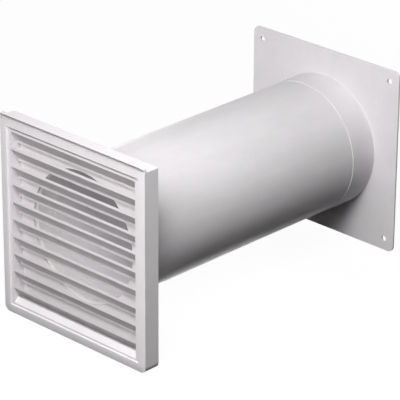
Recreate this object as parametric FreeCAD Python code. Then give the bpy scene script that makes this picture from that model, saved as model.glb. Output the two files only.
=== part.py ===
import FreeCAD, Part
import math
import os

# Wall vent sleeve: a louvred outer grille, a round tube through the wall and a square plate on the room side.
# X is to the right seen from outside, Y runs along the tube from the outer face of the wall into the room,
# Z is up. The origin is on the tube's axis, in the plane where the grille's base lies on the outer wall.

# Duct
tube_outer_d = 125.0          # outside diameter of the tube
tube_wall = 1.5
spigot_wall = 1.1             # wall of the spigots that plug into the tube
plug_clearance = 0.15         # radial room between a spigot and the tube
lead_chamfer = 0.5            # on the free end of each spigot
wall_span = 304.0             # from the outer face of the wall to its room face

# Louvre cover
cover_width = 176.0
cover_height = 190.3          # with the drip lip
cover_drop = 94.7             # from the tube's axis to the cover's lower edge
cover_depth = 17.0            # front of the rim to the wall
cover_wall = 2.0              # side walls
rim_thickness = 2.8           # front wall that carries the louvre
wall_relief = 0.5             # the cover's walls stop short of the wall by this
bottom_corner_r = 6.0
top_corner_r = 0.8
rim_side = 7.9                # flat part of the rim, left and right
rim_top = 7.4
rim_bottom = 7.9
rim_bevel_width = 5.5         # outer part of the rim that leans back
rim_bevel_drop = 0.8
rim_bevel_corner_r = 1.0      # where the bevel starts, at the two lower corners
recess_depth = 1.4            # border behind the rim's face
recess_chamfer = 0.5          # on the rim's inner edge
border_side = 3.6             # recessed border left and right of the slats
border_bottom = 2.0           # recessed border under the sill
frame_wall = 1.6              # inner walls that carry the slats' ends

# Drip lip along the top edge, it leans forward over the rim
lip_rise = 4.8
lip_reach = 2.5               # in front of the rim's face
lip_thickness = 3.9
lip_nose = 0.6                # height of the lip's blunt front edge
lip_groove = 1.4              # how far the groove under the lip goes in behind the rim's face
lip_root = 1.6                # thickness at the lip's root
lip_corner_r = 3.0            # seen from above
lip_end_r = 4.0               # seen from the front

# Slats, they fall inward and end in an upright edge
slat_count = 10
slat_pitch = 16.6
slat_top_gap = 1.1            # open above the first slat
slat_front = 2.6              # height of the front edge
slat_fall = 10.9              # drop of the sloping web
slat_run = 8.4                # depth of the sloping web
slat_edge = 2.4               # height of the upright inner edge
slat_edge_thickness = 1.1

# Sill under the last slat
sill_run = 4.2
sill_rise = 4.6
sill_thickness = 1.8

# Grille base
base_clearance = 0.3          # between the base's edge and the cover's walls
base_plate = 2.2
base_flange = 2.0             # width of the flange round the base's back
base_corner_r = 3.0
slat_room = 1.9               # between the slats' inner edges and the base
mouth_step = 1.45             # the mouth is wider than the spigot's bore by this, all round
mouth_depth = 2.6             # straight part of the mouth, in front of the funnel
hub_overlap = 2.0             # the base's hub reaches past the tube by this
base_hole_d = 6.0
base_hole_edge = 16.7         # screw holes from the base's left and right edges
base_boss_d = 11.0
base_spigot_reach = 20.5      # into the tube
spigot_bead = 0.5             # ridge inside the free end of the base's spigot

# Wall plate
plate_side = 178.0
plate_thickness = 2.2
plate_corner_r = 6.5
plate_edge_chamfer = 0.4
plate_hole_d = 5.5
plate_hole_edge = 11.25       # screw holes from the plate's edges
collar_length = 29.0          # from the plate's wall side to the end of the collar
collar_step = 0.5             # the collar stands out past the tube by this
collar_chamfer = 0.2
collar_fillet = 0.8           # between collar and plate
shoulder_thickness = 2.0      # ring that joins collar and spigot
plate_spigot_reach = 22.0     # into the tube

# Sizes that follow from the fits
tube_outer_r = tube_outer_d / 2
tube_inner_r = tube_outer_r - tube_wall
spigot_outer_r = tube_inner_r - plug_clearance
spigot_inner_r = spigot_outer_r - spigot_wall
mouth_r = spigot_inner_r + mouth_step
hub_r = tube_outer_r + hub_overlap
collar_r = tube_outer_r + collar_step
collar_foot_r = collar_r + collar_fillet
tube_length = wall_span - collar_length

cover_top = cover_height - cover_drop
cover_bottom = -cover_drop
box_top = cover_top - lip_rise
half_width = cover_width / 2
front = -cover_depth
recess_back = front + recess_depth
recess_half = half_width - rim_side - recess_chamfer
recess_top = box_top - rim_top - recess_chamfer
recess_bottom = cover_bottom + rim_bottom + recess_chamfer
opening_half = recess_half - border_side
opening_bottom = recess_bottom + border_bottom
slat_top = recess_top - slat_top_gap
slat_back = recess_back + slat_run + slat_edge_thickness
base_front = slat_back + slat_room
base_back = base_front + base_plate
base_inset = cover_wall + base_clearance
base_half = half_width - base_inset
plate_half = plate_side / 2


def prism(wire, depth):
    """Solid between a flat wire and its copy moved along Y."""
    return Part.Face(wire).extrude(FreeCAD.Vector(0, depth, 0))


def block(half, bottom, top, y_from, y_to):
    """Box across the middle plane, from bottom to top and from y_from to y_to."""
    corner = FreeCAD.Vector(-half, y_from, bottom)
    return Part.makeBox(2 * half, y_to - y_from, top - bottom, corner)


def rounded_outline(half, bottom, top, r_bottom, r_top, y):
    """Upright rectangle with one radius for the lower corners and one for the upper."""
    corners = ((half - r_bottom, bottom + r_bottom, r_bottom, -90),
               (half - r_top, top - r_top, r_top, 0),
               (r_top - half, top - r_top, r_top, 90),
               (r_bottom - half, bottom + r_bottom, r_bottom, 180))
    arcs = []
    for x, z, r, start in corners:
        angles = [math.radians(start + turn) for turn in (0, 45, 90)]
        arcs.append([FreeCAD.Vector(x + r * math.cos(a), y, z + r * math.sin(a)) for a in angles])
    edges = []
    for number, arc in enumerate(arcs):
        following = arcs[(number + 1) % len(arcs)]
        edges.append(Part.Arc(*arc).toShape())
        edges.append(Part.LineSegment(arc[2], following[0]).toShape())
    return Part.Wire(edges)


def across(profile, half):
    """Solid of a (y, z) profile drawn out along X, the same way to both sides."""
    points = [FreeCAD.Vector(-half, y, z) for y, z in profile]
    return Part.Face(Part.makePolygon(points + points[:1])).extrude(FreeCAD.Vector(2 * half, 0, 0))


def turned(wire):
    """Solid of a wire in the XY plane turned about the tube's axis."""
    return Part.Face(wire).revolve(FreeCAD.Vector(), FreeCAD.Vector(0, 1, 0), 360)


def ring_points(profile):
    """Vectors in the XY plane for (y, r) points."""
    return [FreeCAD.Vector(r, y, 0) for y, r in profile]


def hole_places(half):
    """Centres (x, z) of four holes on a square, half its side from the middle."""
    return [(x, z) for x in (-half, half) for z in (-half, half)]


def round_bar(d, x, z, y_from, y_to):
    """Cylinder along Y."""
    return Part.makeCylinder(d / 2, y_to - y_from, FreeCAD.Vector(x, y_from, z), FreeCAD.Vector(0, 1, 0))


def cover_box():
    """Open-backed box with a rim that leans back at its outer part, but not along the top."""
    bevel_back = front + rim_bevel_drop
    side = rounded_outline(half_width, cover_bottom, box_top, bottom_corner_r, top_corner_r, bevel_back)
    face = rounded_outline(half_width - rim_bevel_width, cover_bottom + rim_bevel_width, box_top,
                           rim_bevel_corner_r, top_corner_r, front)
    body = prism(side, -bevel_back - wall_relief).fuse(Part.makeLoft([side, face], True, True))
    inside = rounded_outline(half_width - cover_wall, cover_bottom + cover_wall, box_top - cover_wall,
                             bottom_corner_r - cover_wall, top_corner_r, front + rim_thickness)
    return body.cut(prism(inside, cover_depth))


def recess_frame(grow, y):
    """Outline of the recess, larger by grow on each side."""
    half = recess_half + grow
    low = recess_bottom - grow
    high = recess_top + grow
    places = ((-half, low), (half, low), (half, high), (-half, high), (-half, low))
    return Part.makePolygon([FreeCAD.Vector(x, y, z) for x, z in places])


def recess_cut():
    """The border behind the rim's face, with a chamfer on the rim's inner edge, and the opening."""
    chamfer = Part.makeLoft([recess_frame(recess_chamfer, front), recess_frame(0, front + recess_chamfer)],
                            True, True)
    recess = block(recess_half, recess_bottom, recess_top, front, recess_back)
    opening = block(opening_half, opening_bottom, recess_top, front, front + rim_thickness)
    return chamfer.fuse([recess, opening])


def slat(number):
    """One slat: upright front edge, web falling inward, upright inner edge."""
    top = slat_top - number * slat_pitch
    web_end = recess_back + slat_run
    web_low = top - slat_front - slat_fall
    low = web_low - slat_edge
    back_high = top - slat_fall * (slat_back - recess_back) / slat_run
    return across([(recess_back, top), (recess_back, top - slat_front), (web_end, web_low), (web_end, low),
                   (slat_back, low), (slat_back, back_high)], opening_half + frame_wall / 2)


def sill():
    """Wall that rises inward from the border to just under the last slat."""
    slope = math.atan2(sill_rise, sill_run)
    shift_y = sill_thickness * math.sin(slope)
    shift_z = sill_thickness * math.cos(slope)
    crest_y = recess_back + sill_run
    crest_z = opening_bottom + sill_rise
    foot_z = opening_bottom - shift_z
    return across([(recess_back, opening_bottom), (crest_y, crest_z), (crest_y + shift_y, crest_z - shift_z),
                   (recess_back + shift_y, foot_z), (recess_back, foot_z)], opening_half + frame_wall / 2)


def louvre_frame():
    """Inner walls on both sides of the slats and above them, from the rim back to the base."""
    bottom = opening_bottom - sill_thickness
    outer = block(opening_half + frame_wall, bottom, recess_top + frame_wall, recess_back, base_front)
    return outer.cut(block(opening_half, bottom, recess_top, recess_back, base_front))


def drip_lip():
    """Lip that leans forward over the rim, with its ends rounded in plan and in front view."""
    tip = front - lip_reach
    back = tip + lip_thickness
    root = front + lip_groove
    foot = box_top - cover_wall / 2
    lip = across([(root + lip_root, foot), (root + lip_root, box_top), (back, cover_top), (tip, cover_top),
                  (tip, cover_top - lip_nose), (root, box_top), (root, foot)], half_width)
    ends = rounded_outline(half_width, cover_bottom, cover_top, bottom_corner_r, lip_end_r, tip)
    slab = block(half_width, foot, cover_top, tip, -wall_relief)
    corners = [e for e in slab.Edges if e.CenterOfMass.isEqual(
        FreeCAD.Vector(math.copysign(half_width, e.CenterOfMass.x), tip, (foot + cover_top) / 2), 1e-6)]
    return lip.common(slab.makeFillet(lip_corner_r, corners)).common(prism(ends, cover_depth))


def louvre_cover():
    added = [louvre_frame(), sill(), drip_lip()]
    added += [slat(number) for number in range(slat_count)]
    return cover_box().cut(recess_cut()).fuse(added).removeSplitter()


def grille_base():
    bottom = cover_bottom + base_inset
    top = box_top - base_inset
    outline = rounded_outline(base_half, bottom, top, base_corner_r, base_corner_r, base_front)
    hollow = rounded_outline(base_half - base_flange, bottom + base_flange, top - base_flange,
                             base_corner_r, base_corner_r, base_back)
    places = hole_places(base_half - base_hole_edge)
    bosses = [round_bar(base_boss_d, x, z, base_back, 0) for x, z in places]
    bead_r = spigot_inner_r - spigot_bead
    end = base_spigot_reach
    ring = ring_points([
        (base_front, mouth_r), (base_front + mouth_depth, mouth_r), (0, spigot_inner_r),
        (end - 2 * spigot_bead, spigot_inner_r), (end - spigot_bead, bead_r), (end, bead_r),
        (end, spigot_outer_r - lead_chamfer), (end - lead_chamfer, spigot_outer_r), (0, spigot_outer_r),
        (0, hub_r), (base_front, hub_r)])
    hub = turned(Part.makePolygon(ring + ring[:1]))
    bore = round_bar(2 * hub_r, 0, 0, base_front, 0)
    holes = [round_bar(base_hole_d, x, z, base_front, 0) for x, z in places]
    plate = prism(outline, -base_front).cut(prism(hollow, -base_back))
    shape = plate.fuse(bosses).cut(bore).fuse(hub)
    return shape.cut(Part.makeCompound(holes)).removeSplitter()


def duct_tube():
    wall = ring_points([(0, tube_inner_r), (0, tube_outer_r),
                        (tube_length, tube_outer_r), (tube_length, tube_inner_r)])
    return turned(Part.makePolygon(wall + wall[:1]))


def collar():
    """Spigot, shoulder and collar of the wall plate, with the fillet that leads into the plate."""
    room = wall_span + plate_thickness
    start = tube_length - plate_spigot_reach
    shoulder = tube_length + shoulder_thickness
    points = ring_points([
        (room, collar_foot_r), (room, tube_inner_r), (shoulder, tube_inner_r), (shoulder, spigot_inner_r),
        (start, spigot_inner_r), (start, spigot_outer_r - lead_chamfer),
        (start + lead_chamfer, spigot_outer_r), (tube_length, spigot_outer_r),
        (tube_length, collar_r - collar_chamfer), (tube_length + collar_chamfer, collar_r),
        (wall_span - collar_fillet, collar_r)])
    bend = collar_fillet * (1 - math.sqrt(0.5))
    middle, foot = ring_points([(wall_span - bend, collar_r + bend), (wall_span, collar_foot_r)])
    edges = [Part.LineSegment(a, b).toShape() for a, b in zip(points, points[1:])]
    edges.append(Part.Arc(points[-1], middle, foot).toShape())
    edges.append(Part.LineSegment(foot, points[0]).toShape())
    return turned(Part.Wire(edges))


def wall_plate():
    room = wall_span + plate_thickness
    outline = rounded_outline(plate_half, -plate_half, plate_half, plate_corner_r, plate_corner_r, wall_span)
    plate = prism(outline, plate_thickness)
    faces = [f for f in plate.Faces if abs(f.normalAt(0, 0).y) > 0.9]
    plate = plate.makeChamfer(plate_edge_chamfer, [e for f in faces for e in f.Edges])
    mouth = round_bar(2 * collar_foot_r, 0, 0, wall_span, room)
    places = hole_places(plate_half - plate_hole_edge)
    holes = [round_bar(plate_hole_d, x, z, wall_span, room) for x, z in places]
    return plate.cut(mouth).fuse(collar()).cut(Part.makeCompound(holes)).removeSplitter()


os.makedirs("parts", exist_ok=True)
for make in (louvre_cover, grille_base, duct_tube, wall_plate):
    make().exportStep("parts/" + make.__name__ + ".step")
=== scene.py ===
import math

import bpy
from mathutils import Matrix, Vector


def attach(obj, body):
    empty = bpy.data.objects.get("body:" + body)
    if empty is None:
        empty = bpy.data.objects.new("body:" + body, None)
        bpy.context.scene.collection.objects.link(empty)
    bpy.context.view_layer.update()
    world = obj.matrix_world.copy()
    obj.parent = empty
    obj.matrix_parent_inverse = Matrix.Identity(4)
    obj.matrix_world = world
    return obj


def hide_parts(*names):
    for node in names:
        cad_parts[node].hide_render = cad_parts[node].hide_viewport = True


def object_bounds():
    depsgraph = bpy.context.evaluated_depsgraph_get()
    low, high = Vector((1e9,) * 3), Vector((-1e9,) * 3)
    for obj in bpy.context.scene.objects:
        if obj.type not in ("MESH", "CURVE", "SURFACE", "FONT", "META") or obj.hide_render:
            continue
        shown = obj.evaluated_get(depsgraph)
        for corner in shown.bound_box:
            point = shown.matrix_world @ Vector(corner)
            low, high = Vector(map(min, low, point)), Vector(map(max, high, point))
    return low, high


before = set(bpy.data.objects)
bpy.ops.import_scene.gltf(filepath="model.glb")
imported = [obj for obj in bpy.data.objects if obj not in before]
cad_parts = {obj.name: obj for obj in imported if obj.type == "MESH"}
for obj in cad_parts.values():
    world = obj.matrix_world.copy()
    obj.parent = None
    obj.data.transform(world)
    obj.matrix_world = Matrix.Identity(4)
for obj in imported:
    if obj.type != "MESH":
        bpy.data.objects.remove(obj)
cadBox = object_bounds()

floorLevel = cadBox[0][2]
pureWhite = (1, 1, 1)


# Camera at the photograph's angle
photoView = {
    "azimuth": 43.99,                   # degrees to the right of the grille's front
    "elevation": 24.21,
    "roll": 0.307,
    "distance": 2.2679,                 # metres from the aim
    "aim": (0.01613, 0.12328, -0.00057),
    "lens": 231.65,
    "sensor": 36.0,
    "clipEnd": 50.0,
}


def placeCamera():
    azimuth = math.radians(photoView["azimuth"])
    elevation = math.radians(photoView["elevation"])
    roll = math.radians(photoView["roll"])
    back = Vector((math.sin(azimuth) * math.cos(elevation),
                   -math.cos(azimuth) * math.cos(elevation),
                   math.sin(elevation)))
    levelRight = Vector((math.cos(azimuth), math.sin(azimuth), 0))
    levelUp = back.cross(levelRight)
    right = math.cos(roll) * levelRight + math.sin(roll) * levelUp
    up = math.cos(roll) * levelUp - math.sin(roll) * levelRight
    turn = Matrix((right, up, back)).transposed().to_4x4()
    place = Vector(photoView["aim"]) + back * photoView["distance"]
    bpy.ops.object.camera_add()
    camera = bpy.context.object
    camera.name = "photoCamera"
    camera.matrix_world = Matrix.Translation(place) @ turn
    camera.data.lens = photoView["lens"]
    camera.data.sensor_width = photoView["sensor"]
    camera.data.clip_end = photoView["clipEnd"]
    bpy.context.scene.camera = camera


placeCamera()
print("camera placed")


# Soft panels: the small ones give the photograph's light, the two large ones fill the back and left
frontAim = (0, 0.08, 0)
smallPanel = (0.3, 0.3)
softPanels = {
    "keyPanel": {"place": (0.372, -0.363, 0.689), "aim": frontAim, "size": smallPanel, "power": 5.7},
    "rightPanel": {"place": (0.443, -0.448, 0.579), "aim": frontAim, "size": smallPanel, "power": 1.43},
    "frontRightPanel": {"place": (0.252, -0.613, 0.516), "aim": frontAim, "size": smallPanel, "power": 1.86},
    "frontPanel": {"place": (0.0, -0.657, 0.516), "aim": frontAim, "size": smallPanel, "power": 1.75},
    "backPanel": {"place": (0.395, 0.412, 0.737), "aim": frontAim, "size": smallPanel, "power": 1.0},
    "rearPanel": {"place": (-0.25, 1.5, 0.12), "aim": (0, 0.3, 0), "size": (1.0, 0.35), "power": 12.5,
                  "color": (1, 0.985, 0.965)},
    "leftPanel": {"place": (-1.3, 0.75, 0.02), "aim": (0, 0.14, 0), "size": (0.6, 0.2), "power": 4.6},
}

# Cards that lie on the floor and throw light up: before the grille, under the tube and at its left
floorCards = {
    "frontCard": {"middle": (0.0, -0.16), "size": (0.3, 0.2), "power": 0.083, "color": (1, 0.955, 0.9)},
    "tubeCard": {"middle": (0.012, 0.12), "size": (0.016, 0.21), "power": 0.055, "spread": 110},
    "leftCard": {"middle": (-0.16, 0.14), "size": (0.14, 0.28), "power": 0.11, "spread": 140},
}
cardLift = 0.0002                       # metres above the floor
cardAimHeight = 1.0
fullSpread = 180                        # degrees


def addPanel(name, place, aim, facts):
    bpy.ops.object.light_add(type="AREA", location=place)
    light = bpy.context.object
    light.name = name
    light.rotation_euler = (Vector(aim) - Vector(place)).to_track_quat("-Z", "Y").to_euler()
    light.data.shape = "RECTANGLE"
    light.data.size, light.data.size_y = facts["size"]
    light.data.energy = facts["power"]
    light.data.spread = math.radians(facts.get("spread", fullSpread))
    light.data.color = facts.get("color", pureWhite)
    light.visible_camera = False


for name, panel in softPanels.items():
    addPanel(name, panel["place"], panel["aim"], panel)
for name, card in floorCards.items():
    addPanel(name, (*card["middle"], floorLevel + cardLift), (*card["middle"], cardAimHeight), card)
print("panels added")


# White backdrop: the camera and reflections see white, the object gets its light from the panels alone
backdrop = {
    "worldLight": 0.0,                  # grey level that the world gives to matt surfaces
    "whiteLevel": 1.0,
    "floorSize": 12.0,
    "floorColor": (0.01, 0.01, 0.01),   # what light from the floor looks like to the object
    "shadowColor": pureWhite,
    "shadowShare": 0.04,                # share of the floor's own shading in what the camera sees
    "mirroredShade": 0.7,               # the same share in what the plastic reflects
}


def seenDirectly(nodes, links):
    path = nodes.new("ShaderNodeLightPath")
    cameraOrGlossy = nodes.new("ShaderNodeMath")
    cameraOrGlossy.operation = "MAXIMUM"
    links.new(path.outputs["Is Camera Ray"], cameraOrGlossy.inputs[0])
    links.new(path.outputs["Is Glossy Ray"], cameraOrGlossy.inputs[1])
    anySight = nodes.new("ShaderNodeMath")
    anySight.operation = "MAXIMUM"
    links.new(cameraOrGlossy.outputs[0], anySight.inputs[0])
    links.new(path.outputs["Is Transmission Ray"], anySight.inputs[1])
    return anySight.outputs[0]


def makeWorld():
    world = bpy.data.worlds.new("whiteStudio")
    bpy.context.scene.world = world
    world.use_nodes = True
    nodes = world.node_tree.nodes
    links = world.node_tree.links
    nodes.clear()
    grey = nodes.new("ShaderNodeBackground")
    grey.inputs["Color"].default_value = (*pureWhite, 1)
    grey.inputs["Strength"].default_value = backdrop["worldLight"]
    white = nodes.new("ShaderNodeBackground")
    white.inputs["Color"].default_value = (*pureWhite, 1)
    white.inputs["Strength"].default_value = backdrop["whiteLevel"]
    choose = nodes.new("ShaderNodeMixShader")
    output = nodes.new("ShaderNodeOutputWorld")
    links.new(seenDirectly(nodes, links), choose.inputs["Fac"])
    links.new(grey.outputs[0], choose.inputs[1])
    links.new(white.outputs[0], choose.inputs[2])
    links.new(choose.outputs[0], output.inputs["Surface"])


def makeFloor():
    bpy.ops.mesh.primitive_plane_add(size=backdrop["floorSize"], location=(0, 0, floorLevel))
    floor = bpy.context.object
    floor.name = "paleFloor"
    material = bpy.data.materials.new("paleFloorFinish")
    material.use_nodes = True
    nodes = material.node_tree.nodes
    links = material.node_tree.links
    nodes.clear()
    bounce = nodes.new("ShaderNodeBsdfDiffuse")
    bounce.inputs["Color"].default_value = (*backdrop["floorColor"], 1)
    shaded = nodes.new("ShaderNodeBsdfDiffuse")
    shaded.inputs["Color"].default_value = (*backdrop["shadowColor"], 1)
    white = nodes.new("ShaderNodeEmission")
    white.inputs["Color"].default_value = (*pureWhite, 1)
    white.inputs["Strength"].default_value = backdrop["whiteLevel"]
    path = nodes.new("ShaderNodeLightPath")
    share = nodes.new("ShaderNodeMapRange")
    share.inputs["To Min"].default_value = backdrop["shadowShare"]
    share.inputs["To Max"].default_value = backdrop["mirroredShade"]
    links.new(path.outputs["Is Glossy Ray"], share.inputs["Value"])
    pale = nodes.new("ShaderNodeMixShader")
    links.new(share.outputs["Result"], pale.inputs["Fac"])
    links.new(white.outputs[0], pale.inputs[1])
    links.new(shaded.outputs[0], pale.inputs[2])
    choose = nodes.new("ShaderNodeMixShader")
    output = nodes.new("ShaderNodeOutputMaterial")
    links.new(seenDirectly(nodes, links), choose.inputs["Fac"])
    links.new(bounce.outputs[0], choose.inputs[1])
    links.new(pale.outputs[0], choose.inputs[2])
    links.new(choose.outputs[0], output.inputs["Surface"])
    floor.data.materials.append(material)


makeWorld()
makeFloor()
print("backdrop made")


# Satin white plastic, each piece with the grain of its own mould or die
coolWhite = (0.775, 0.749, 0.769)
warmWhite = (0.780, 0.752, 0.752)       # the base behind the slats is a warmer white
plasticBody = {
    "ior": 1.49, "gloss": 0.12,
    "cloudDetail": 9, "cloudRoughness": 0.7, "cloudFrom": 0.3, "cloudTo": 0.7,
    "grainDetail": 2, "grainHeight": 0.0002,
}
moulding = {
    "color": coolWhite, "stretch": (1, 1, 1), "cloudScale": 40, "darkest": 0.925,
    "grainScale": 1600, "grainStrength": 0.14, "roughness": (0.42, 0.54),
}
baseMoulding = dict(moulding, color=warmWhite)
tubeDie = {                             # drawn out along the tube
    "color": coolWhite, "stretch": (1, 0.3, 1), "cloudScale": 70, "darkest": 0.92,
    "grainScale": 900, "grainStrength": 0.16, "roughness": (0.40, 0.52),
}


def satinPlastic(name, facts):
    material = bpy.data.materials.new(name)
    material.use_nodes = True
    nodes = material.node_tree.nodes
    links = material.node_tree.links
    shader = nodes["Principled BSDF"]
    shader.inputs["IOR"].default_value = plasticBody["ior"]
    shader.inputs["Specular IOR Level"].default_value = plasticBody["gloss"]
    place = nodes.new("ShaderNodeTexCoord")
    stretch = nodes.new("ShaderNodeMapping")
    stretch.inputs["Scale"].default_value = facts["stretch"]
    links.new(place.outputs["Object"], stretch.inputs["Vector"])

    cloud = nodes.new("ShaderNodeTexNoise")     # faint mottling, from centimetres down to a millimetre
    cloud.inputs["Scale"].default_value = facts["cloudScale"]
    cloud.inputs["Detail"].default_value = plasticBody["cloudDetail"]
    cloud.inputs["Roughness"].default_value = plasticBody["cloudRoughness"]
    links.new(stretch.outputs["Vector"], cloud.inputs["Vector"])
    shade = nodes.new("ShaderNodeValToRGB")
    dark, light = shade.color_ramp.elements
    dark.position = plasticBody["cloudFrom"]
    light.position = plasticBody["cloudTo"]
    dark.color = (*[c * facts["darkest"] for c in facts["color"]], 1)
    light.color = (*facts["color"], 1)
    links.new(cloud.outputs["Fac"], shade.inputs["Fac"])
    links.new(shade.outputs["Color"], shader.inputs["Base Color"])

    grain = nodes.new("ShaderNodeTexNoise")     # surface grain, about a millimetre and less
    grain.inputs["Scale"].default_value = facts["grainScale"]
    grain.inputs["Detail"].default_value = plasticBody["grainDetail"]
    links.new(stretch.outputs["Vector"], grain.inputs["Vector"])
    rough = nodes.new("ShaderNodeMapRange")
    rough.inputs["To Min"].default_value, rough.inputs["To Max"].default_value = facts["roughness"]
    links.new(grain.outputs["Fac"], rough.inputs["Value"])
    links.new(rough.outputs["Result"], shader.inputs["Roughness"])
    bump = nodes.new("ShaderNodeBump")
    bump.inputs["Strength"].default_value = facts["grainStrength"]
    bump.inputs["Distance"].default_value = plasticBody["grainHeight"]
    links.new(grain.outputs["Fac"], bump.inputs["Height"])
    links.new(bump.outputs["Normal"], shader.inputs["Normal"])
    return material


mouldedWhite = satinPlastic("mouldedWhite", moulding)
mouldedWarmWhite = satinPlastic("mouldedWarmWhite", baseMoulding)
extrudedWhite = satinPlastic("extrudedWhite", tubeDie)
print("plastics mixed")


# Each piece is a merged copy of its solid with its sharp edges broken as a mould leaves them
pieceFinish = {
    "louvre_cover": {"name": "louvreCover", "edge": 0.00015, "plastic": mouldedWhite},
    "grille_base": {"name": "grilleBase", "edge": 0.0002, "plastic": mouldedWarmWhite},
    "duct_tube": {"name": "ductTube", "edge": 0.0002, "plastic": extrudedWhite},
    "wall_plate": {"name": "wallPlate", "edge": 0.0002, "plastic": mouldedWhite},
}
sameSpot = 0.000002                     # metres, doubles nearer than this are one point
flatWithin = math.radians(0.4)
sharpFrom = math.radians(32)
edgeSegments = 2
broadFaceWeight = 100


def finishPiece(node, facts):
    piece = bpy.data.objects.new(facts["name"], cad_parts[node].data.copy())
    bpy.context.scene.collection.objects.link(piece)
    bpy.ops.object.select_all(action="DESELECT")
    piece.select_set(True)
    bpy.context.view_layer.objects.active = piece
    bpy.ops.mesh.customdata_custom_splitnormals_clear()
    bpy.ops.object.mode_set(mode="EDIT")
    bpy.ops.mesh.select_all(action="SELECT")
    bpy.ops.mesh.remove_doubles(threshold=sameSpot)
    bpy.ops.mesh.dissolve_limited(angle_limit=flatWithin)
    bpy.ops.object.mode_set(mode="OBJECT")
    bevel = piece.modifiers.new("brokenEdge", "BEVEL")
    bevel.width = facts["edge"]
    bevel.segments = edgeSegments
    bevel.limit_method = "ANGLE"
    bevel.angle_limit = sharpFrom
    bpy.ops.object.modifier_apply(modifier=bevel.name)
    bpy.ops.object.shade_smooth_by_angle(angle=sharpFrom)
    level = piece.modifiers.new("levelFaces", "WEIGHTED_NORMAL")    # broad faces stay flat to their edges
    level.mode = "FACE_AREA"
    level.weight = broadFaceWeight
    level.keep_sharp = True
    bpy.ops.object.modifier_apply(modifier=level.name)
    piece.data.materials.clear()
    piece.data.materials.append(facts["plastic"])
    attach(piece, "root")
    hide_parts(node)


for node, facts in pieceFinish.items():
    finishPiece(node, facts)
print("pieces finished")

bpy.context.scene.view_settings.view_transform = "Standard"
